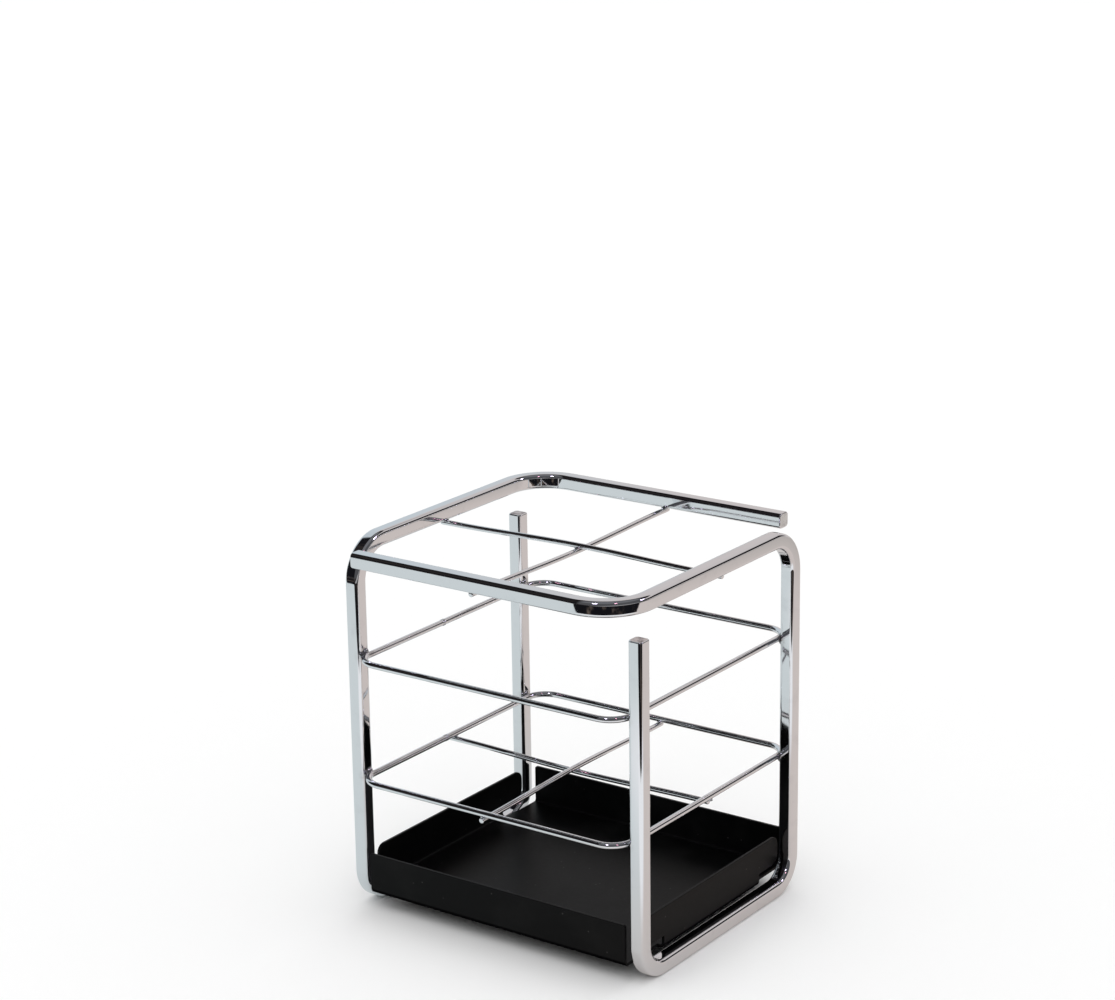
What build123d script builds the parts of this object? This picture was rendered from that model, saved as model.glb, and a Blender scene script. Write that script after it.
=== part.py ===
from build123d import *
import os

# A free-standing open holder for long kitchen tools. Two bent square bars are tied
# together by two wire rings and two pairs of crossed divider wires, and a shallow folded
# tray lies loose on the runs of the bars that stand on the table.
# Millimetres. X runs to the right along the front, Y to the back, Z up. The origin is on
# the table, in the middle of the footprint.

# Square bars
bar_size = 5.0
bar_edge_chamfer = 0.5
bar_end_chamfer = 0.25
overall_width = 110.0
overall_depth = 110.0
overall_height = 121.5
legs_outer_depth = 90.0
free_leg_height = 108.5
rail_end_inset = 11.0
rail_bend_radius = 14.5
shoulder_bend_radius = 12.0
foot_bend_radius = 9.5

# Wire rings, welded inside the legs
ring_wire = 2.0
ring_depth = 98.8
ring_bend_radius = 7.5
upper_ring_height = 84.0
lower_ring_height = 44.5
seam_offset = -4.0
seam_length = 1.4
seam_rise = 0.12

# Divider wires: the across wires run left to right, the along wires front to back
divider_wire = 1.75
crossing_gap = 0.02
top_divider_inset = 2.0
top_across_offset = 2.0
top_along_offset = 0.0
lower_across_offset = 1.0
lower_along_offset = -0.5
lower_across_shift = -1.5
lower_overhang = 0.3

# Weld beads
bead_width = 3.4
bead_height = 0.85
bead_root_width = 0.3
leg_bead_length = 2.6
rail_bead_length = 1.8
collar_radius = 1.05
collar_height = 0.7
collar_root_width = 0.5

# Tray
sheet = 1.0
tray_height = 13.6
tray_bearing_width = 1.0
tray_seat_gap = 0.2
tray_leg_gap = 1.5
fold_radius = 0.8
side_flange_corner_radius = 3.0
front_flange_corner_radius = 0.8
relief_length = 11.0
relief_height = 4.2
relief_corner_radius = 3.6
cut_overrun = 2.0

# Places worked out from the sizes above
bar_half = bar_size / 2
leg_x = overall_width / 2 - bar_half
leg_y = legs_outer_depth / 2 - bar_half
rail_y = overall_depth / 2 - bar_half
rail_z = overall_height - bar_half
rail_end_x = overall_width / 2 - rail_end_inset
leg_inner_x = leg_x - bar_half
leg_inner_y = leg_y - bar_half
rail_inner_y = rail_y - bar_half
rail_underside = rail_z - bar_half
ring_radius = ring_wire / 2
ring_x = leg_inner_x - ring_radius
ring_y = ring_depth / 2 - ring_radius
divider_radius = divider_wire / 2
top_divider_z = rail_underside - divider_radius
ring_underside = lower_ring_height - ring_radius
lower_divider_z = ring_underside - divider_radius

os.makedirs("parts", exist_ok=True)


def save(pieces, node):
    part = Compound(label=node, children=pieces) if isinstance(pieces, list) else pieces
    part.label = node
    export_step(part, "parts/" + node + ".step")


# A bar runs from its free end along the front, round the top corner, back along the
# side, down the rear leg, forward along the table and up the front leg to its other end.
# Both ends are sawn off square. The second bar is the first one turned half round.
def build_bar():
    route = FilletPolyline(
        (-rail_end_x, -rail_y, rail_z),
        (leg_x, -rail_y, rail_z),
        (leg_x, leg_y, rail_z),
        (leg_x, leg_y, bar_half),
        (leg_x, -leg_y, bar_half),
        (leg_x, -leg_y, free_leg_height),
        radius=[rail_bend_radius, shoulder_bend_radius, foot_bend_radius, foot_bend_radius],
    )
    square = Rectangle(bar_size, bar_size)
    section = chamfer(square.vertices(), bar_edge_chamfer)
    start = Plane(origin=route @ 0, x_dir=(0, 1, 0), z_dir=route % 0)
    bar = sweep(start * section, path=route)
    for end in (route @ 0, route @ 1):
        sawn_face = bar.faces().sort_by_distance(end)[0]
        bar = chamfer(sawn_face.edges(), bar_end_chamfer)
    return bar


right_bar = build_bar()
left_bar = Rot(0, 0, 180) * right_bar
save(right_bar, "right_bar")
save(left_bar, "left_bar")


# Each ring is one wire bent to a rounded rectangle. Its long sides lie against the inner
# faces of the legs, and its ends are butted and welded in the left side.
def build_ring(height):
    outline = RectangleRounded(2 * ring_x, 2 * ring_y, ring_bend_radius)
    route = (Pos(0, 0, height) * outline).wire()
    start = Plane(origin=route @ 0, z_dir=route % 0)
    return sweep(start * Circle(ring_radius), path=route)


def build_seam(height, ring):
    collar = Cylinder(ring_radius + seam_rise, seam_length)
    return Pos(-ring_x, seam_offset, height) * Rot(90, 0, 0) * collar - ring


upper_ring = build_ring(upper_ring_height)
lower_ring = build_ring(lower_ring_height)
save(upper_ring, "upper_ring")
save(lower_ring, "lower_ring")
upper_seam = build_seam(upper_ring_height, upper_ring)
lower_seam = build_seam(lower_ring_height, lower_ring)
save([upper_seam, lower_seam], "ring_seams")


# A divider wire lies flat where it is welded at both ends, and slopes up or down to the
# middle by its own radius, so that the two wires of a cross meet where they pass.
def build_divider(plane, ends, seats, crossing, rise):
    points = [(ends[0], 0), (seats[0], 0), (crossing, rise), (seats[1], 0), (ends[1], 0)]
    route = plane * Polyline(*points)
    start = Plane(origin=route @ 0, z_dir=route % 0)
    return sweep(start * Circle(divider_radius), path=route, transition=Transition.RIGHT)


def across_plane(offset, height):
    return Plane(origin=(0, offset, height), x_dir=(1, 0, 0), z_dir=(0, -1, 0))


def along_plane(offset, height):
    return Plane(origin=(offset, 0, height), x_dir=(0, 1, 0), z_dir=(1, 0, 0))


divider_rise = divider_radius + crossing_gap / 2
top_across_end = overall_width / 2 - top_divider_inset
top_along_end = overall_depth / 2 - top_divider_inset
top_across = build_divider(
    across_plane(top_across_offset, top_divider_z),
    (-top_across_end, top_across_end),
    (-leg_inner_x, leg_inner_x),
    top_along_offset,
    divider_rise,
)
top_along = build_divider(
    along_plane(top_along_offset, top_divider_z),
    (-top_along_end, top_along_end),
    (-rail_inner_y, rail_inner_y),
    top_across_offset,
    -divider_rise,
)
save(top_across, "top_across_wire")
save(top_along, "top_along_wire")

lower_across_end = leg_inner_x + lower_overhang
lower_along_end = ring_depth / 2 + lower_overhang
lower_across = build_divider(
    across_plane(lower_across_offset, lower_divider_z),
    (lower_across_shift - lower_across_end, lower_across_shift + lower_across_end),
    (ring_radius - ring_x, ring_x - ring_radius),
    lower_along_offset,
    -divider_rise,
)
lower_along = build_divider(
    along_plane(lower_along_offset, lower_divider_z),
    (-lower_along_end, lower_along_end),
    (ring_radius - ring_y, ring_y - ring_radius),
    lower_across_offset,
    divider_rise,
)
save(lower_across, "lower_across_wire")
save(lower_along, "lower_along_wire")


# Welds: where a round wire lies along a flat face, an arched bead fills the corner on each
# side of the wire. Where two round wires cross, a thin collar fills the space round their
# contact. Neither runs into the line or point where the metals touch.
def flat_weld(place, face_normal, wire_direction, length, wire):
    half_width = bead_width / 2
    arch = make_face(
        ThreePointArc((-half_width, 0), (0, bead_height), (half_width, 0))
        + Line((half_width, 0), (-half_width, 0))
    )
    bead = extrude(Plane.YZ * arch, length / 2, both=True)
    root = Box(length, bead_root_width, 2 * bead_height)
    seat = Plane(origin=place, x_dir=wire_direction, z_dir=face_normal)
    return (seat * (bead - root) - wire).solids()


def wire_weld(place, wires):
    root = Box(collar_root_width, collar_root_width, collar_height)
    collar = Cylinder(collar_radius, collar_height) - root
    return (Pos(*place) * collar - wires[0] - wires[1]).solids()


def ring_welds(height, ring):
    bead_y = leg_inner_y + bar_edge_chamfer + leg_bead_length / 2
    beads = []
    for side in (-1, 1):
        for end in (-1, 1):
            place = (side * leg_inner_x, end * bead_y, height)
            beads += flat_weld(place, (-side, 0, 0), (0, 1, 0), leg_bead_length, ring)
    return beads


def rail_welds():
    across_x = (leg_inner_x + bar_edge_chamfer + top_across_end) / 2
    along_y = (rail_inner_y + bar_edge_chamfer + top_along_end) / 2
    down = (0, 0, -1)
    beads = []
    for side in (-1, 1):
        place = (side * across_x, top_across_offset, rail_underside)
        beads += flat_weld(place, down, (1, 0, 0), rail_bead_length, top_across)
        place = (top_along_offset, side * along_y, rail_underside)
        beads += flat_weld(place, down, (0, 1, 0), rail_bead_length, top_along)
    return beads


def lower_divider_welds():
    beads = []
    for side in (-1, 1):
        place = (side * ring_x, lower_across_offset, ring_underside)
        beads += wire_weld(place, (lower_ring, lower_across))
        place = (lower_along_offset, side * ring_y, ring_underside)
        beads += wire_weld(place, (lower_ring, lower_along))
    return beads


def crossing_welds():
    top_place = (top_along_offset, top_across_offset, top_divider_z)
    lower_place = (lower_along_offset, lower_across_offset, lower_divider_z)
    beads = wire_weld(top_place, (top_across, top_along))
    return beads + wire_weld(lower_place, (lower_across, lower_along))


save(ring_welds(upper_ring_height, upper_ring), "upper_ring_welds")
save(ring_welds(lower_ring_height, lower_ring), "lower_ring_welds")
save(rail_welds(), "rail_welds")
save(lower_divider_welds(), "lower_divider_welds")
save(crossing_welds(), "crossing_welds")


# Tray: one sheet folded up on four sides with open corners. The side flanges stand on
# the bars, between the legs; their lower corners are cut away to clear the foot bends.
# The front and back flanges are flush with the outer faces of the legs.
tray_half_width = leg_inner_x + tray_bearing_width
side_half_length = leg_inner_y - tray_leg_gap
tray_half_depth = legs_outer_depth / 2
front_half_length = leg_inner_x - tray_leg_gap
relief_start = side_half_length - relief_length


def folded_strip(half_span):
    edge = half_span - sheet / 2
    middle = sheet / 2
    route = FilletPolyline(
        (-edge, tray_height),
        (-edge, middle),
        (edge, middle),
        (edge, tray_height),
        radius=fold_radius + middle,
    )
    return trace(route, line_width=sheet)


def side_outline():
    return make_face(
        FilletPolyline(
            (-relief_start, 0),
            (-relief_start, relief_height),
            (-side_half_length, relief_height),
            (-side_half_length, tray_height),
            (side_half_length, tray_height),
            (side_half_length, relief_height),
            (relief_start, relief_height),
            (relief_start, 0),
            radius=[
                0,
                0,
                relief_corner_radius,
                side_flange_corner_radius,
                side_flange_corner_radius,
                relief_corner_radius,
                0,
                0,
            ],
            close=True,
        )
    )


def front_outline():
    return make_face(
        FilletPolyline(
            (-front_half_length, 0),
            (-front_half_length, tray_height),
            (front_half_length, tray_height),
            (front_half_length, 0),
            radius=[0, front_flange_corner_radius, front_flange_corner_radius, 0],
            close=True,
        )
    )


def build_tray():
    side_strip = extrude(Plane.XZ * folded_strip(tray_half_width), side_half_length, both=True)
    side_cut = extrude(Plane.YZ * side_outline(), tray_half_width + cut_overrun, both=True)
    front_strip = extrude(Plane.YZ * folded_strip(tray_half_depth), front_half_length, both=True)
    front_cut = extrude(Plane.XZ * front_outline(), tray_half_depth + cut_overrun, both=True)
    tray = (side_strip & side_cut) + (front_strip & front_cut)
    return Pos(0, 0, bar_size + tray_seat_gap) * tray


save(build_tray(), "tray")
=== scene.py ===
from math import cos, pi, radians, sin, tan

import bmesh
import bpy
from mathutils import Matrix, Vector


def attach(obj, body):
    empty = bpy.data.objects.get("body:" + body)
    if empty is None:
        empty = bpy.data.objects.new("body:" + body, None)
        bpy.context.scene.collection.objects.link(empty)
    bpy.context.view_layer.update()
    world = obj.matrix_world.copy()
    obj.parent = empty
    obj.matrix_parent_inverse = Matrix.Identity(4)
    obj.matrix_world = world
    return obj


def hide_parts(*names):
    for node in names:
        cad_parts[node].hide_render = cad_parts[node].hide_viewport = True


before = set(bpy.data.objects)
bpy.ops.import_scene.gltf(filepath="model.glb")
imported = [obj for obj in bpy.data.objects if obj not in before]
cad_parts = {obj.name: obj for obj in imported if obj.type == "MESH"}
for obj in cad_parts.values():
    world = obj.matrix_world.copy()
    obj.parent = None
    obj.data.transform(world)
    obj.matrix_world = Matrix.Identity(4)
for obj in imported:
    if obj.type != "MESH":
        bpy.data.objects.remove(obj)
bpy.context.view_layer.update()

mm = 0.001

levels = {"upper": 84.0, "lower": 44.5}  # heights of the two rings
mergeGap = 0.002
endFaceSides = 8  # an end face has more sides than this, a side face fewer


# selecting and finishing, as by hand
def rename(piece, name):
    piece.name = name
    piece.data.name = name


def pickOnly(piece):
    bpy.ops.object.select_all(action="DESELECT")
    bpy.context.view_layer.objects.active = piece
    piece.select_set(True)


def addAt(name, addPrimitive, **settings):
    bpy.ops.object.select_all(action="DESELECT")
    addPrimitive(**settings)
    piece = bpy.context.object
    rename(piece, name)
    bpy.ops.object.transform_apply(location=True, rotation=True, scale=True)
    return piece


def editing(piece):
    pickOnly(piece)
    bpy.ops.object.mode_set(mode="EDIT")


def selectAll():
    bpy.ops.mesh.select_all(action="SELECT")


def select(piece, kind, test):
    modes = {"verts": "VERT", "edges": "EDGE", "faces": "FACE"}
    bpy.ops.mesh.select_mode(type=modes[kind])
    bpy.ops.mesh.select_all(action="DESELECT")
    shell = bmesh.from_edit_mesh(piece.data)
    for element in getattr(shell, kind):
        if test(element):
            element.select_set(True)
    shell.select_flush_mode()
    bmesh.update_edit_mesh(piece.data)


def selectEnds(piece):
    select(piece, "faces", lambda face: len(face.verts) > endFaceSides)


def middle(edge):
    return (edge.verts[0].co + edge.verts[1].co) / 2


def near(value, target, slack=0.02 * mm):
    return abs(value - target) < slack


def pull(offset):
    bpy.ops.mesh.extrude_region_move(TRANSFORM_OT_translate={"value": offset})


def roundOff(radius, steps, affect="EDGES", profile=0.5):
    bpy.ops.mesh.bevel(offset=radius * mm, segments=steps, profile=profile, affect=affect)


def cleanUp(piece, outward=True):
    selectAll()
    bpy.ops.mesh.remove_doubles(threshold=mergeGap * mm)
    if outward:
        bpy.ops.mesh.normals_make_consistent(inside=False)
    bpy.ops.object.mode_set(mode="OBJECT")


def addModifier(piece, kind, **settings):
    modifier = piece.modifiers.new(kind.title(), kind)
    for key, value in settings.items():
        setattr(modifier, key, value)
    bpy.ops.object.modifier_apply(modifier=modifier.name)


def smooth(piece, angle=40):
    pickOnly(piece)
    bpy.ops.object.shade_smooth_by_angle(angle=radians(angle))


def evenShading(piece):
    addModifier(piece, "WEIGHTED_NORMAL", keep_sharp=True, weight=60)


def copyTurned(piece, name, turn):
    bpy.ops.object.select_all(action="DESELECT")
    twin = piece.copy()
    twin.data = piece.data.copy()
    rename(twin, name)
    bpy.context.collection.objects.link(twin)
    twin.data.transform(turn)
    if turn.determinant() < 0:
        twin.data.flip_normals()
    return twin


def dress(piece, body, slot, *nodes):
    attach(piece, body)
    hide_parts(*nodes)


# a wire begins as its round end face, ready to be pulled
def startWire(name, wire, place, turn):
    piece = addAt(
        name,
        bpy.ops.mesh.primitive_circle_add,
        vertices=wire["around"],
        radius=wire["radius"] * mm,
        fill_type="NGON",
        location=place,
        rotation=turn,
    )
    editing(piece)
    bpy.ops.mesh.select_mode(type="FACE")
    selectAll()
    return piece


# the end face of a bar or wire is pulled along the runs and turned round the bends
def pullAlong(points, radii, bendSteps):
    points = [Vector(point) * mm for point in points]
    here = points[0]
    for index in range(1, len(points)):
        corner = points[index]
        arriving = (corner - here).normalized()
        if index == len(points) - 1:
            pull(corner - here)
            break
        leaving = (points[index + 1] - corner).normalized()
        radius = radii[index - 1] * mm
        setback = radius * tan(arriving.angle(leaving) / 2)
        bendStart = corner - arriving * setback
        pull(bendStart - here)
        bpy.ops.mesh.spin(
            steps=bendSteps,
            angle=-arriving.angle(leaving),
            center=bendStart + leaving * radius,
            axis=arriving.cross(leaving).normalized(),
        )
        here = corner + leaving * setback


# shader building
class Socket:
    def __init__(self, finish, output):
        self.finish = finish
        self.output = output

    def math(self, operation, *others):
        inputs = dict(enumerate((self,) + others))
        return self.finish.add("ShaderNodeMath", {"operation": operation}, inputs)

    def __add__(self, other):
        return self.math("ADD", other)

    def __radd__(self, other):
        return self.math("ADD", other)

    def __sub__(self, other):
        return self.math("SUBTRACT", other)

    def __rsub__(self, other):
        return self.math("MULTIPLY_ADD", -1.0, other)

    def __mul__(self, other):
        return self.math("MULTIPLY", other)

    def __rmul__(self, other):
        return self.math("MULTIPLY", other)

    def __truediv__(self, other):
        return self.math("DIVIDE", other)

    def __rtruediv__(self, other):
        return self.math("POWER", -1.0).math("MULTIPLY", other)


class Finish:
    def __init__(self, holder):
        holder.use_nodes = True
        self.tree = holder.node_tree
        self.tree.nodes.clear()

    def join(self, value, target):
        if isinstance(value, Socket):
            self.tree.links.new(value.output, target)
        else:
            target.default_value = value

    def add(self, kind, settings=None, inputs=None, output=0):
        node = self.tree.nodes.new(kind)
        for key, value in (settings or {}).items():
            setattr(node, key, value)
        for key, value in (inputs or {}).items():
            self.join(value, node.inputs[key])
        return Socket(self, node.outputs[output]) if node.outputs else None

    def coordinates(self, kind):
        return self.add("ShaderNodeTexCoord", output=kind)

    def rays(self, kind):
        return self.add("ShaderNodeLightPath", output=kind)

    def split(self, vector):
        parts = self.add("ShaderNodeSeparateXYZ", None, {0: vector}).output.node.outputs
        return [Socket(self, part) for part in parts]

    def mottle(self, where, scale, detail=2.0, roughness=0.5):
        inputs = {"Vector": where, "Scale": scale, "Detail": detail, "Roughness": roughness}
        return self.add("ShaderNodeTexNoise", None, inputs)

    def ramp(self, value, low, high, start=0.0, end=1.0):
        inputs = {"Value": value, "From Min": low, "From Max": high, "To Min": start, "To Max": end}
        return self.add("ShaderNodeMapRange", {"interpolation_type": "SMOOTHSTEP"}, inputs)

    def fall(self, value, low, high):
        return self.ramp(value, low, high, 1.0, 0.0)

    def step(self, value, edge, blur):
        return self.ramp(value, edge - blur, edge + blur)

    def blend(self, factor, first, second):
        inputs = {0: factor, 6: first, 7: second}
        return self.add("ShaderNodeMix", {"data_type": "RGBA"}, inputs, 2)

    def bump(self, height, amount, normal=None):
        strength, depth = amount
        inputs = {"Strength": strength, "Distance": depth * mm, "Height": height}
        if normal is not None:
            inputs["Normal"] = normal
        return self.add("ShaderNodeBump", None, inputs)

    def metal(self, color, roughness, normal):
        inputs = {"Base Color": color, "Metallic": 1.0, "Roughness": roughness, "Normal": normal}
        return self.add("ShaderNodeBsdfPrincipled", None, inputs)

    def matt(self, color):
        return self.add("ShaderNodeBsdfDiffuse", None, {"Color": color})

    def glow(self, color):
        return self.add("ShaderNodeEmission", None, {"Color": color})

    def mixed(self, factor, first, second):
        return self.add("ShaderNodeMixShader", None, {0: factor, 1: first, 2: second})

    def close(self, shader, kind="ShaderNodeOutputMaterial"):
        self.add(kind, None, {"Surface": shader})


def newFinish(name):
    material = bpy.data.materials.new(name)
    return material, Finish(material)


# finishes: a mottle is its scale, detail and roughness, a bump its strength and depth
chromeLook = {
    "color": (0.80, 0.815, 0.84, 1.0),
    "hazeColor": (0.66, 0.67, 0.70, 1.0),
    "weldColor": (0.42, 0.40, 0.39, 1.0),
    "waves": (55.0, 2.0),
    "waveBump": (0.30, 0.02),
    "pits": (1400.0, 3.0, 0.7),
    "pitBump": (0.05, 0.004),
    "haze": (120.0, 4.0, 0.65),
    "hazeRange": (0.54, 0.82),
    "hazeShare": 0.5,
    "weldPlace": (50.0, 42.0),
    "weldSpread": (3.0, 3.4, 2.6),
    "weldRange": (0.35, 1.25),
    "weldPits": (0.30, 0.62),
    "weldShare": 0.75,
    "roughness": {"plain": 0.035, "haze": 0.05, "weld": 0.22, "pits": 0.015},
}


def makeChrome():
    look = chromeLook
    material, finish = newFinish("brightChrome")
    where = finish.coordinates("Object")
    x, y, z = finish.split(where)
    pits = finish.mottle(where, *look["pits"])
    haze = finish.ramp(finish.mottle(where, *look["haze"]), *look["hazeRange"])
    spreadX, spreadY, spreadZ = [spread * mm for spread in look["weldSpread"]]
    sideways = (x.math("ABSOLUTE") - look["weldPlace"][0] * mm) / spreadX
    lengthways = (y.math("ABSOLUTE") - look["weldPlace"][1] * mm) / spreadY
    flat = sideways * sideways + lengthways * lengthways
    spots = []
    for height in levels.values():
        upward = (z - height * mm) / spreadZ
        spots.append(finish.fall((flat + upward * upward).math("SQRT"), *look["weldRange"]))
    weld = spots[0].math("MAXIMUM", spots[1]) * finish.ramp(pits, *look["weldPits"])
    color = finish.blend(haze * look["hazeShare"], look["color"], look["hazeColor"])
    color = finish.blend(weld * look["weldShare"], color, look["weldColor"])
    share = look["roughness"]
    roughness = share["plain"] + haze * share["haze"] + weld * share["weld"] + pits * share["pits"]
    waves = finish.bump(finish.mottle(where, *look["waves"]), look["waveBump"])
    normal = finish.bump(pits, look["pitBump"], waves)
    finish.close(finish.metal(color, roughness, normal))
    return material


sawnLook = {
    "railColor": (0.90, 0.93, 0.95, 1.0),
    "legColor": (0.66, 0.61, 0.60, 1.0),
    "darkMottleColor": (0.16, 0.12, 0.12, 1.0),
    "legTop": (108.6, 110.6),
    "lines": 2600.0,
    "lineLean": (0.35, 0.20),
    "lineTurns": 2.0,
    "lineBump": (0.30, 0.015),
    "warp": (500.0, 2.0),
    "warpShare": 5.0,
    "grain": (1800.0, 4.0, 0.7),
    "grainBump": (0.45, 0.03),
    "darkMottle": (420.0, 3.0, 0.6),
    "darkMottleRange": (0.42, 0.66),
    "darkMottleShare": {"leg": 0.55, "both": 0.25},
    "roughness": {"plain": 0.12, "grain": 0.18, "darkMottle": 0.1},
}


def makeSawnEnd():
    look = sawnLook
    material, finish = newFinish("platedSawnEnd")
    where = finish.coordinates("Object")
    x, y, z = finish.split(where)
    leanY, leanZ = look["lineLean"]
    warp = finish.mottle(where, *look["warp"]) * look["warpShare"]
    across = (x + y * leanY + z * leanZ) * look["lines"] + warp
    lines = (across * look["lineTurns"]).math("SINE")
    grain = finish.mottle(where, *look["grain"])
    darkMottle = finish.ramp(finish.mottle(where, *look["darkMottle"]), *look["darkMottleRange"])
    # the legs' tops are darker and browner than the rail's end and carry more of the dark mottle
    low, high = look["legTop"]
    onLeg = finish.fall(z, low * mm, high * mm)
    share = look["darkMottleShare"]
    color = finish.blend(onLeg, look["railColor"], look["legColor"])
    color = finish.blend(darkMottle * (onLeg * share["leg"] + share["both"]), color, look["darkMottleColor"])
    share = look["roughness"]
    roughness = share["plain"] + grain * share["grain"] + darkMottle * share["darkMottle"]
    scored = finish.bump(lines, look["lineBump"])
    normal = finish.bump(grain, look["grainBump"], scored)
    finish.close(finish.metal(color, roughness, normal))
    return material


coatingLook = {
    "color": (0.0026, 0.0026, 0.0028, 1.0),
    "dustColor": (0.075, 0.074, 0.072, 1.0),
    "peel": (900.0, 2.0, 0.5),
    "peelBump": (0.30, 0.02),
    "grit": (5200.0, 2.0, 0.6),
    "gritBump": (0.15, 0.006),
    "smear": (34.0, 4.0, 0.6),
    "smearRange": (0.45, 0.75),
    "speckScale": 240.0,
    "speckSize": (0.035, 0.075),
    "dustShare": {"speck": 0.55, "smear": 0.06},
    "roughness": {"plain": 0.33, "smear": 0.08, "peel": 0.08},
    "specular": 0.09,
    # where the folds' undersides get the painted shade
    "foldTop": (6.4, 7.6),
    "facingDown": (-0.12, 0.0),
}


def makeCoating():
    look = coatingLook
    material, finish = newFinish("blackCoating")
    where = finish.coordinates("Object")
    peel = finish.mottle(where, *look["peel"])
    grit = finish.mottle(where, *look["grit"])
    smear = finish.ramp(finish.mottle(where, *look["smear"]), *look["smearRange"])
    inputs = {"Vector": where, "Scale": look["speckScale"], "Randomness": 1.0}
    toSpeck = finish.add("ShaderNodeTexVoronoi", {"feature": "F1"}, inputs)
    speck = finish.fall(toSpeck, *look["speckSize"])
    share = look["dustShare"]
    dust = speck * share["speck"] + smear * share["smear"]
    share = look["roughness"]
    inputs = {
        "Base Color": finish.blend(dust, look["color"], look["dustColor"]),
        "Roughness": share["plain"] + smear * share["smear"] + peel * share["peel"],
        "Specular IOR Level": look["specular"],
        "Normal": finish.bump(grit, look["gritBump"], finish.bump(peel, look["peelBump"])),
    }
    satin = finish.add("ShaderNodeBsdfPrincipled", None, inputs)
    inputs = {"Color": look["color"], "Normal": inputs["Normal"]}
    paintedShadeMatt = finish.add("ShaderNodeBsdfDiffuse", None, inputs)
    # painted shade: the folds' undersides, which lie close over the bars, get a matt copy of the
    # coating without its sheen
    low, high = look["foldTop"]
    onFold = finish.fall(finish.split(where)[2], low * mm, high * mm)
    down = finish.fall(finish.split(finish.coordinates("Normal"))[2], *look["facingDown"])
    finish.close(finish.mixed(onFold * down, satin, paintedShadeMatt))
    return material


brightChrome = makeChrome()
sawnEnd = makeSawnEnd()
blackCoating = makeCoating()
print("finishes ready")


# the two bent square bars
bar = {
    "size": 5.0,
    "edgeRadius": 1.25,
    "edgeSteps": 6,
    "endBreak": 0.4,
    "endSteps": 3,
    "route": (
        (-44.0, -52.5, 119.0),
        (52.5, -52.5, 119.0),
        (52.5, 42.5, 119.0),
        (52.5, 42.5, 2.5),
        (52.5, -42.5, 2.5),
        (52.5, -42.5, 108.5),
    ),
    "bends": (14.5, 12.0, 9.5, 9.5),
    "bendSteps": 20,
    "squareOn": 0.95,
}


def makeRightBar():
    start, end = [Vector(bar["route"][index]) * mm for index in (0, -1)]
    piece = addAt(
        "rightBar",
        bpy.ops.mesh.primitive_plane_add,
        size=bar["size"] * mm,
        location=start,
        rotation=(0, pi / 2, 0),
    )
    editing(piece)
    selectAll()
    roundOff(bar["edgeRadius"], bar["edgeSteps"], "VERTICES")
    bpy.ops.mesh.select_mode(type="FACE")
    selectAll()
    pullAlong(bar["route"], bar["bends"], bar["bendSteps"])
    cleanUp(piece)
    editing(piece)
    selectEnds(piece)
    roundOff(bar["endBreak"], bar["endSteps"])

    def sawn(face):
        place, facing = face.calc_center_median(), face.normal
        atStart = near(place.x, start.x) and facing.x < -bar["squareOn"]
        return atStart or (near(place.z, end.z) and facing.z > bar["squareOn"])

    select(piece, "faces", sawn)
    piece.data.materials.append(brightChrome)
    piece.data.materials.append(sawnEnd)
    piece.active_material_index = 1
    bpy.ops.object.material_slot_assign()
    bpy.ops.object.mode_set(mode="OBJECT")
    smooth(piece, 50)
    evenShading(piece)
    return piece


rightBar = makeRightBar()
leftBar = copyTurned(rightBar, "leftBar", Matrix.Rotation(pi, 4, "Z"))
dress(rightBar, "frame", "chrome", "right_bar")
dress(leftBar, "frame", "chrome", "left_bar")


# the two wire rings
ring = {
    "radius": 1.0,
    "around": 32,
    "halfWidth": 49.0,
    "halfDepth": 48.4,
    "bend": 7.5,
    "bendSteps": 18,
    "seamPlace": -4.0,
}


def makeRing(name, height):
    x, y = ring["halfWidth"], ring["halfDepth"]
    seamSpot = (-x, ring["seamPlace"], height)
    piece = startWire(name, ring, Vector(seamSpot) * mm, (-pi / 2, 0, 0))
    corners = [(-x, y, height), (x, y, height), (x, -y, height), (-x, -y, height)]
    pullAlong([seamSpot] + corners + [seamSpot], [ring["bend"]] * 4, ring["bendSteps"])
    selectEnds(piece)
    bpy.ops.mesh.delete(type="FACE")
    cleanUp(piece)
    smooth(piece)
    piece.data.materials.append(brightChrome)
    return piece


for level, height in levels.items():
    wire = makeRing(level + "Ring", height)
    dress(wire, "frame", "chrome", level + "_ring")
    print(wire.name, len(wire.data.polygons))


# the butt welds in the rings' left sides, each with a waist in its middle
seam = {
    "rise": 0.12,
    "length": 1.4,
    "around": 28,
    "edgeBreak": 0.30,
    "edgeSteps": 4,
    "edgeProfile": 0.6,
    "waist": 0.94,
    "waistBreak": 0.10,
    "waistSteps": 2,
    "waistReach": 0.03,
}


def makeSeam(name, height):
    center = Vector((-ring["halfWidth"], ring["seamPlace"], height)) * mm
    piece = addAt(
        name,
        bpy.ops.mesh.primitive_cylinder_add,
        vertices=seam["around"],
        radius=(ring["radius"] + seam["rise"]) * mm,
        depth=seam["length"] * mm,
        location=center,
        rotation=(pi / 2, 0, 0),
    )
    editing(piece)
    selectEnds(piece)
    roundOff(seam["edgeBreak"], seam["edgeSteps"], profile=seam["edgeProfile"])
    cleanUp(piece)
    editing(piece)
    selectAll()
    waistY = ring["seamPlace"] * mm
    bpy.ops.mesh.bisect(plane_co=(0, waistY, 0), plane_no=(0, 1, 0), use_fill=False)
    roundOff(seam["waistBreak"], seam["waistSteps"])
    select(piece, "verts", lambda vert: near(vert.co.y, waistY, seam["waistReach"] * mm))
    bpy.ops.transform.resize(value=(seam["waist"], 1, seam["waist"]), center_override=center)
    cleanUp(piece)
    smooth(piece, 60)
    piece.data.materials.append(brightChrome)
    return piece


for level, height in levels.items():
    dress(makeSeam(level + "Seam", height), "frame", "chrome", "ring_seams")
print("seams done")


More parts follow.
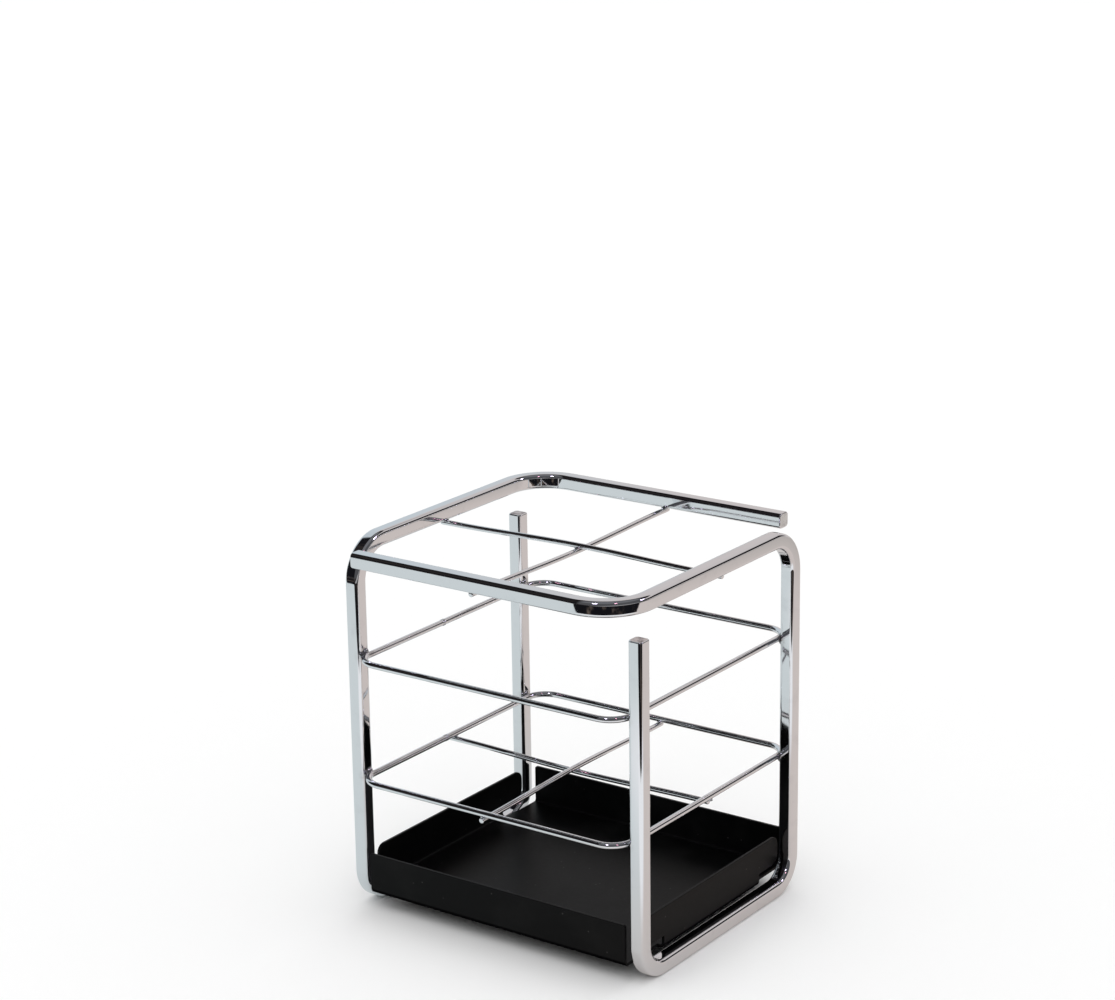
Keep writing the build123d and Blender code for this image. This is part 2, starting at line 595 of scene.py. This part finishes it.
# the divider wires, bowed by half a wire where they cross
divider = {
    "radius": 0.875,
    "around": 28,
    "endBreak": 0.28,
    "endSteps": 4,
    "bowSteps": 26,
    "wires": {
        "topAcrossWire": {
            "node": "top_across_wire", "axis": "X", "side": 2.0, "height": 115.625,
            "ends": (-53.0, 53.0), "seats": (-50.0, 50.0), "cross": 0.0, "rise": 0.885,
        },
        "topAlongWire": {
            "node": "top_along_wire", "axis": "Y", "side": 0.0, "height": 115.625,
            "ends": (-53.0, 53.0), "seats": (-50.0, 50.0), "cross": 2.0, "rise": -0.885,
        },
        "lowerAcrossWire": {
            "node": "lower_across_wire", "axis": "X", "side": 1.0, "height": 42.625,
            "ends": (-51.8, 48.8), "seats": (-48.0, 48.0), "cross": -0.5, "rise": -0.885,
        },
        "lowerAlongWire": {
            "node": "lower_along_wire", "axis": "Y", "side": -0.5, "height": 42.625,
            "ends": (-49.7, 49.7), "seats": (-47.4, 47.4), "cross": 1.0, "rise": 0.885,
        },
    },
}


def bowAt(wire, along):
    seat = wire["seats"][0] if along < wire["cross"] else wire["seats"][1]
    share = (along - seat) / (wire["cross"] - seat)
    share = max(0.0, min(1.0, share))
    return wire["rise"] * (0.5 - 0.5 * cos(pi * share))


def makeDivider(name, wire):
    acrossways = wire["axis"] == "X"

    def spot(along):
        height = wire["height"] + bowAt(wire, along)
        place = (along, wire["side"], height) if acrossways else (wire["side"], along, height)
        return Vector(place) * mm

    low, high = wire["ends"]
    turn = (0, pi / 2, 0) if acrossways else (-pi / 2, 0, 0)
    piece = startWire(name, divider, spot(low), turn)
    firstSeat, lastSeat = wire["seats"]
    stops = [low, firstSeat]
    for seat, goal in ((firstSeat, wire["cross"]), (wire["cross"], lastSeat)):
        for step in range(1, divider["bowSteps"] + 1):
            stops.append(seat + (goal - seat) * step / divider["bowSteps"])
    stops.append(high)
    for before, after in zip(stops, stops[1:]):
        pull(spot(after) - spot(before))
    cleanUp(piece)
    editing(piece)
    selectEnds(piece)
    roundOff(divider["endBreak"], divider["endSteps"])
    bpy.ops.object.mode_set(mode="OBJECT")
    smooth(piece, 50)
    piece.data.materials.append(brightChrome)
    return piece


for name, wire in divider["wires"].items():
    piece = makeDivider(name, wire)
    dress(piece, "frame", "chrome", wire["node"])
print("divider wires done")


# weld beads: one nugget is shaped, then copied to every place and stretched there
bead = {
    "size": (3.2, 2.5, 1.5),
    "around": 32,
    "rings": 18,
    "lump": 0.16,
    "lumpScale": 0.9,
    "legFace": 50.0,
    "legReach": 41.8,
    "railReach": 51.75,
    "legStretch": (1.35, 1.1, 1.35),
    "seatStretch": (0.62, 0.75, 0.42),
    "crossingStretch": (0.66, 0.80, 0.30),
}


def makeNugget():
    piece = addAt(
        "ringNugget",
        bpy.ops.mesh.primitive_uv_sphere_add,
        segments=bead["around"],
        ring_count=bead["rings"],
        radius=0.5 * mm,
    )
    editing(piece)
    selectAll()
    bpy.ops.transform.resize(value=bead["size"], center_override=(0, 0, 0))
    bpy.ops.mesh.bisect(plane_co=(0, 0, 0), plane_no=(0, 0, 1), clear_inner=True, use_fill=True)
    cleanUp(piece)
    texture = bpy.data.textures.new("nuggetLumps", "CLOUDS")
    texture.noise_scale = bead["lumpScale"] * mm
    texture.noise_depth = 1
    lumps = {"strength": bead["lump"] * mm, "mid_level": 0.5, "texture_coords": "LOCAL"}
    addModifier(piece, "DISPLACE", texture=texture, **lumps)
    smooth(piece, 60)
    return piece


def beadAt(place, along, away):
    side = Vector(along).cross(Vector(away))
    rows = [(side[axis], along[axis], away[axis], place[axis] * mm) for axis in range(3)]
    return copyTurned(nugget, "bead", Matrix(rows + [(0, 0, 0, 1)]))


def stretched(piece, center, stretch):
    toCenter, fromCenter = Matrix.Translation(center), Matrix.Translation(-center)
    piece.data.transform(toCenter @ Matrix.Diagonal((*stretch, 1)) @ fromCenter)
    return piece


def meanPoint(piece):
    corners = [vert.co for vert in piece.data.vertices]
    return sum(corners, Vector((0, 0, 0))) / len(corners)


def joined(pieces, name, node):
    bpy.ops.object.select_all(action="DESELECT")
    for piece in pieces:
        piece.select_set(True)
    bpy.context.view_layer.objects.active = pieces[0]
    bpy.ops.object.join()
    whole = bpy.context.object
    rename(whole, name)
    whole.data.materials.clear()
    whole.data.materials.append(brightChrome)
    dress(whole, "frame", "chrome", node)


nugget = makeNugget()
ends = (-1, 1)
right, back, up, down = (1, 0, 0), (0, 1, 0), (0, 0, 1), (0, 0, -1)

for level, height in levels.items():
    beads = []
    for side in ends:
        for end in ends:
            place = (side * bead["legFace"], end * bead["legReach"], height)
            piece = beadAt(place, back, (-side, 0, 0))
            beads.append(stretched(piece, Vector(place) * mm, bead["legStretch"]))
    joined(beads, level + "RingWelds", level + "_ring_welds")

# the wires' tops touch the rails and the lower ring
topAcross, topAlong, lowerAcross, lowerAlong = divider["wires"].values()
topSeat = topAcross["height"] + divider["radius"]
lowerSeat = lowerAcross["height"] + divider["radius"]

beads = []
for side in ends:
    reach = side * bead["railReach"]
    beads.append(beadAt((reach, topAcross["side"], topSeat), right, down))
    beads.append(beadAt((topAlong["side"], reach, topSeat), back, down))
joined(beads, "railWelds", "rail_welds")

beads = []
for side in ends:
    for place in (
        (side * ring["halfWidth"], lowerAcross["side"], lowerSeat),
        (lowerAlong["side"], side * ring["halfDepth"], lowerSeat),
    ):
        for away in (up, down):
            piece = beadAt(place, back, away)
            beads.append(stretched(piece, meanPoint(piece), bead["seatStretch"]))
joined(beads, "lowerDividerWelds", "lower_divider_welds")

beads = []
for across, along in ((topAcross, topAlong), (lowerAcross, lowerAlong)):
    place = (along["side"], across["side"], across["height"])
    for away in (down, up):
        piece = beadAt(place, back, away)
        beads.append(stretched(piece, Vector(place) * mm, bead["crossingStretch"]))
joined(beads, "crossingWelds", "crossing_welds")
bpy.data.objects.remove(nugget, do_unlink=True)
print("welds done")


# the folded tray, drawn as the middle of its sheet and then given its thickness
tray = {
    "sheet": 1.0,
    "bottom": 5.2,
    "height": 13.6,
    "halfWidth": 51.0,
    "halfDepth": 45.0,
    "foldRadius": 1.3,
    "foldSteps": 8,
    "frontHalf": 48.5,
    "sideHalf": 38.5,
    "relief": 11.0,
    "reliefHeight": 4.2,
    "reliefRadius": 3.6,
    "sideCorner": 3.0,
    "cornerSteps": 8,
    "frontCorner": 0.8,
    "frontCornerSteps": 5,
    "edgeBreak": 0.16,
    "edgeSteps": 3,
    "edgeAngle": 50,
}


def makeTray():
    level = (tray["bottom"] + tray["sheet"] / 2) * mm
    fold = tray["foldRadius"] * mm
    half = tray["sheet"] / 2 * mm
    flatX = tray["halfWidth"] * mm - half - fold
    flatY = tray["halfDepth"] * mm - half - fold
    frontHalf = tray["frontHalf"] * mm
    sideHalf = tray["sideHalf"] * mm
    top = (tray["bottom"] + tray["height"]) * mm
    reliefY = (tray["sideHalf"] - tray["relief"]) * mm
    reliefZ = (tray["bottom"] + tray["reliefHeight"]) * mm

    def foldUp(angle, axis, center):
        bpy.ops.mesh.spin(steps=tray["foldSteps"], angle=angle, axis=axis, center=center)

    def roundCorners(radius, steps, test):
        select(piece, "verts", test)
        roundOff(radius, steps, "VERTICES")

    piece = addAt("tray", bpy.ops.mesh.primitive_plane_add, size=1, location=(0, 0, level))
    editing(piece)
    selectAll()
    bpy.ops.transform.resize(value=(2 * frontHalf, 2 * flatY, 1), center_override=(0, 0, level))
    for place in (-reliefY, reliefY):
        selectAll()
        bpy.ops.mesh.bisect(plane_co=(0, place, 0), plane_no=(0, 1, 0))
    for side in ends:
        select(
            piece,
            "edges",
            lambda edge: near(middle(edge).x, side * frontHalf) and abs(middle(edge).y) < reliefY,
        )
        pull((side * (flatX - frontHalf), 0, 0))
        foldUp(side * pi / 2, (0, 1, 0), (side * flatX, 0, level + fold))
        pull((0, 0, reliefZ - level - fold))
        pull((0, 0, top - reliefZ))
        for end in ends:
            select(
                piece,
                "edges",
                lambda edge: near(middle(edge).x, side * (flatX + fold))
                and near(middle(edge).y, end * reliefY)
                and middle(edge).z > reliefZ,
            )
            pull((0, end * tray["relief"] * mm, 0))
    for end in ends:
        select(
            piece,
            "edges",
            lambda edge: near(middle(edge).y, end * flatY) and near(middle(edge).z, level),
        )
        foldUp(-end * pi / 2, (1, 0, 0), (0, end * flatY, level + fold))
        pull((0, 0, top - level - fold))
    cleanUp(piece, outward=False)
    editing(piece)
    roundCorners(
        tray["sideCorner"],
        tray["cornerSteps"],
        lambda vert: near(vert.co.z, top) and near(abs(vert.co.y), sideHalf),
    )
    roundCorners(
        tray["frontCorner"],
        tray["frontCornerSteps"],
        lambda vert: near(vert.co.z, top) and near(abs(vert.co.x), frontHalf),
    )
    roundCorners(
        tray["reliefRadius"],
        tray["cornerSteps"],
        lambda vert: near(vert.co.z, reliefZ) and near(abs(vert.co.y), sideHalf),
    )
    cleanUp(piece)
    pickOnly(piece)
    addModifier(piece, "SOLIDIFY", thickness=tray["sheet"] * mm, offset=0.0, use_even_offset=True)
    edges = {"width": tray["edgeBreak"] * mm, "segments": tray["edgeSteps"]}
    sharp = {"limit_method": "ANGLE", "angle_limit": radians(tray["edgeAngle"])}
    addModifier(piece, "BEVEL", **edges, **sharp)
    smooth(piece)
    evenShading(piece)
    piece.data.materials.append(blackCoating)
    return piece


trayPiece = makeTray()
dress(trayPiece, "tray", "black_coating", "tray")


# the floor: pale, with painted shade where things stand close over it, but mirror-like rays see a
# curved sheet on a dark table
black = (0.0, 0.0, 0.0, 1.0)
white = (1.0, 1.0, 1.0, 1.0)
shadowColor = (0.008, 0.008, 0.010, 1.0)
clutterColor = (0.20, 0.155, 0.125, 1.0)
floorLook = {
    "size": 14.0,
    "color": (0.97, 0.97, 0.97, 1.0),
    # painted shade: the floor's colour where things stand close over it
    "paintedShadeColor": (0.05, 0.05, 0.05, 1.0),
    "paintedShadeReach": 60.0,
    "paintedShadeOpen": 0.18,
    "paintedShadeSamples": 8,
    "toFront": (0.582, -0.813),
    "toRight": (0.813, 0.582),
    "toLeft": (-0.582, -0.813),
    "toBack": (0.9, 0.43),
    "toFar": (0.588, 0.809),
    "sheetColor": (0.685, 0.735, 0.74, 1.0),
    "warmColor": (0.675, 0.60, 0.565, 1.0),
    "warmRange": (-0.10, 0.10),
    "farWarmColor": (0.52, 0.475, 0.445, 1.0),
    "farWarmRange": (0.34, 0.50),
    "brightColor": (0.93, 0.93, 0.94, 1.0),
    "brightFrom": (0.09, 0.15),
    "brightHalf": (0.14, 0.24),
    "sheetLight": 0.35,
    "sheetEdge": (0.232, 0.006),
    "sheetCurve": 0.15,
    "sheetEnd": (0.495, 0.006),
    "ragged": (26.0, 3.0, 0.6),
    "raggedDepth": 0.045,
    "raggedShare": {"end": 0.2, "table": 2.0},
    "clutter": (5.0, 4.0, 0.65),
    "clutterRange": (0.50, 0.72),
    "tableEnd": (0.52, 0.04),
    "roomFloor": (0.38, 0.37, 0.37, 1.0),
    "roomShare": 0.95,
}


def toward(x, y, direction):
    return x * direction[0] + y * direction[1]


def makeFloor():
    look = floorLook
    piece = addAt("floor", bpy.ops.mesh.primitive_plane_add, size=look["size"], location=(0, 0, 0))
    material, finish = newFinish("paleFloor")
    where = finish.coordinates("Object")
    x, y, z = finish.split(where)
    toFront = toward(x, y, look["toFront"])
    toRight = toward(x, y, look["toRight"])
    toLeft = toward(x, y, look["toLeft"])
    toBack = toward(x, y, look["toBack"])
    toFar = toward(x, y, look["toFar"])

    # painted shade: what stands close over the floor darkens its colour, measured by ambient
    # occlusion
    settings = {"samples": look["paintedShadeSamples"]}
    inputs = {"Distance": look["paintedShadeReach"] * mm}
    openness = finish.add("ShaderNodeAmbientOcclusion", settings, inputs, "AO")
    uncovered = finish.ramp(openness, 0.0, look["paintedShadeOpen"])
    plain = finish.matt(finish.blend(uncovered, look["paintedShadeColor"], look["color"]))

    ragged = (finish.mottle(where, *look["ragged"]) - 0.5) * look["raggedDepth"]
    edge = toFront + ragged + toRight * toRight * look["sheetCurve"]
    share = look["raggedShare"]
    ended = finish.step(toLeft + ragged * share["end"], *look["sheetEnd"])
    beyond = finish.step(edge, *look["sheetEdge"]).math("MAXIMUM", ended)
    warm = finish.ramp(toBack, *look["warmRange"])
    farWarm = finish.ramp(toFar, *look["farWarmRange"])
    bright = finish.ramp(toFront, *look["brightFrom"])
    bright = bright * finish.fall(toRight.math("ABSOLUTE"), *look["brightHalf"])
    tint = finish.blend(warm, look["sheetColor"], look["warmColor"])
    tint = finish.blend(farWarm, tint, look["farWarmColor"])
    tint = finish.blend(bright, tint, look["brightColor"])
    sheet = finish.mixed(look["sheetLight"], finish.matt(tint), finish.glow(tint))
    clutter = finish.ramp(finish.mottle(where, *look["clutter"]), *look["clutterRange"])
    farther = finish.step(toFront + ragged * share["table"], *look["tableEnd"])
    table = finish.blend(clutter, shadowColor, clutterColor)
    table = finish.blend(farther * (1.0 - ended * look["roomShare"]), table, look["roomFloor"])
    mirrored = finish.mixed(beyond, sheet, finish.glow(table))
    finish.close(finish.mixed(finish.rays("Is Glossy Ray"), plain, mirrored))
    piece.data.materials.append(material)


# the room: a soft white tent, but mirror-like rays see a wall, a dark room and three lamps
roomLook = {
    "tentColor": (1.085, 1.085, 1.085, 1.0),
    "tentLevel": 1.035,
    "tentFoot": 0.5,
    "toBack": (-0.30, 0.95),
    "backRange": (0.10, 0.35),
    "wallColor": (0.60, 0.66, 0.70, 1.0),
    "warmWallColor": (0.64, 0.59, 0.58, 1.0),
    "warmRange": (-0.62, -0.50),
    "wallTop": (-0.60, -0.25, 0.74, 0.665),
    "wallBlur": 0.02,
    "slitFoot": (0.06, 0.12),
    "slitTop": (0.44, 0.50),
    "slitSide": (0.16, 0.30),
    "patches": (3.0, 3.0, 0.6),
    "patchRange": (0.52, 0.70),
    "patchShare": 0.15,
    "openColor": (0.16, 0.16, 0.17, 1.0),
    "lowOpenColor": (0.085, 0.085, 0.09, 1.0),
    "openSide": (-0.44, -0.30),
    "overhead": (0.74, 0.84),
    "lampCore": 0.6,
    "lamps": (
        {"toward": (0.085, -0.635, 0.768), "spread": 5.0, "color": (12.0, 10.5, 14.0, 1.0)},
        {"toward": (0.550, -0.323, 0.770), "spread": 3.0, "color": (9.0, 4.2, 5.8, 1.0)},
        {"toward": (0.696, 0.422, 0.581), "spread": 5.0, "color": (12.0, 10.5, 14.0, 1.0)},
    ),
}


def makeRoom():
    look = roomLook
    world = bpy.data.worlds.new("studio")
    finish = Finish(world)
    bpy.context.scene.world = world
    world.cycles.sampling_method = "NONE"
    ray = finish.coordinates("Generated")
    x, y, z = finish.split(ray)
    behind = finish.ramp(toward(x, y, look["toBack"]), *look["backRange"])
    overhead = finish.ramp(z, *look["overhead"])

    patches = finish.ramp(finish.mottle(ray, *look["patches"]), *look["patchRange"])
    room = finish.blend(patches * look["patchShare"], shadowColor, clutterColor)
    opened = finish.ramp(x, *look["openSide"]) * (1.0 - behind * (1.0 - overhead))
    openTint = finish.blend(overhead, look["lowOpenColor"], look["openColor"])
    room = finish.blend(opened, room, openTint)

    slit = finish.ramp(z, *look["slitFoot"]) * finish.fall(z, *look["slitTop"])
    slit = slit * finish.ramp(x, *look["slitSide"])
    overWall = finish.step(z - finish.ramp(x, *look["wallTop"]), 0.0, look["wallBlur"])
    wall = behind * (1.0 - overWall) * (1.0 - slit)
    warm = finish.ramp(x, *look["warmRange"])
    wallTint = finish.blend(warm, look["wallColor"], look["warmWallColor"])
    mirrored = finish.blend(wall, room, wallTint)

    for lamp in look["lamps"]:
        inputs = {0: ray, 1: lamp["toward"]}
        toLamp = finish.add("ShaderNodeVectorMath", {"operation": "DOT_PRODUCT"}, inputs, "Value")
        rim, core = lamp["spread"], lamp["spread"] * look["lampCore"]
        spot = finish.ramp(toLamp, cos(radians(rim)), cos(radians(core)))
        mirrored = finish.blend(spot, mirrored, lamp["color"])

    camera = finish.rays("Is Camera Ray")
    tent = finish.blend(finish.ramp(z, 0.0, look["tentFoot"]), black, look["tentColor"])
    color = finish.blend(finish.rays("Is Glossy Ray"), tent, mirrored)
    color = finish.blend(camera, color, white)
    strength = camera * (1.0 - look["tentLevel"]) + look["tentLevel"]
    inputs = {"Color": color, "Strength": strength}
    background = finish.add("ShaderNodeBackground", None, inputs)
    finish.close(background, "ShaderNodeOutputWorld")


# lengths and angles as measured, pixels in the photograph's frame
view = {
    "focal": 2791.26,
    "yaw": 35.58,
    "pitch": 16.21,
    "roll": -0.84,
    "target": (0.0, 0.0, 60.0),
    "targetPixel": (575.99, 718.6),
    "distance": 877.69,
    "frameWidth": 1115.0,
    "frameHeight": 1000.0,
    "sensor": 36.0,
    "clip": (0.01, 50.0),
}


def makeCamera():
    yaw, pitch, roll = [radians(view[angle]) for angle in ("yaw", "pitch", "roll")]
    forward = Vector((-sin(yaw) * cos(pitch), cos(yaw) * cos(pitch), -sin(pitch)))
    level = Vector((cos(yaw), sin(yaw), 0))
    upright = level.cross(forward)
    right = level * cos(roll) + upright * sin(roll)
    up = upright * cos(roll) - level * sin(roll)
    aside = (view["targetPixel"][0] - view["frameWidth"] / 2) / view["focal"]
    below = (view["targetPixel"][1] - view["frameHeight"] / 2) / view["focal"]
    place = Vector(view["target"]) - view["distance"] * (forward + right * aside - up * below)
    turn = Matrix((right, up, -forward)).transposed().to_4x4()
    bpy.ops.object.camera_add()
    camera = bpy.context.object
    camera.name = "photoCamera"
    camera.matrix_world = Matrix.Translation(place * mm) @ turn
    camera.data.sensor_fit = "HORIZONTAL"
    camera.data.sensor_width = view["sensor"]
    camera.data.lens = view["focal"] / view["frameWidth"] * view["sensor"]
    camera.data.clip_start, camera.data.clip_end = view["clip"]
    bpy.context.scene.camera = camera


makeFloor()
makeRoom()
makeCamera()
bpy.context.scene.view_settings.view_transform = "Standard"
print("studio ready")
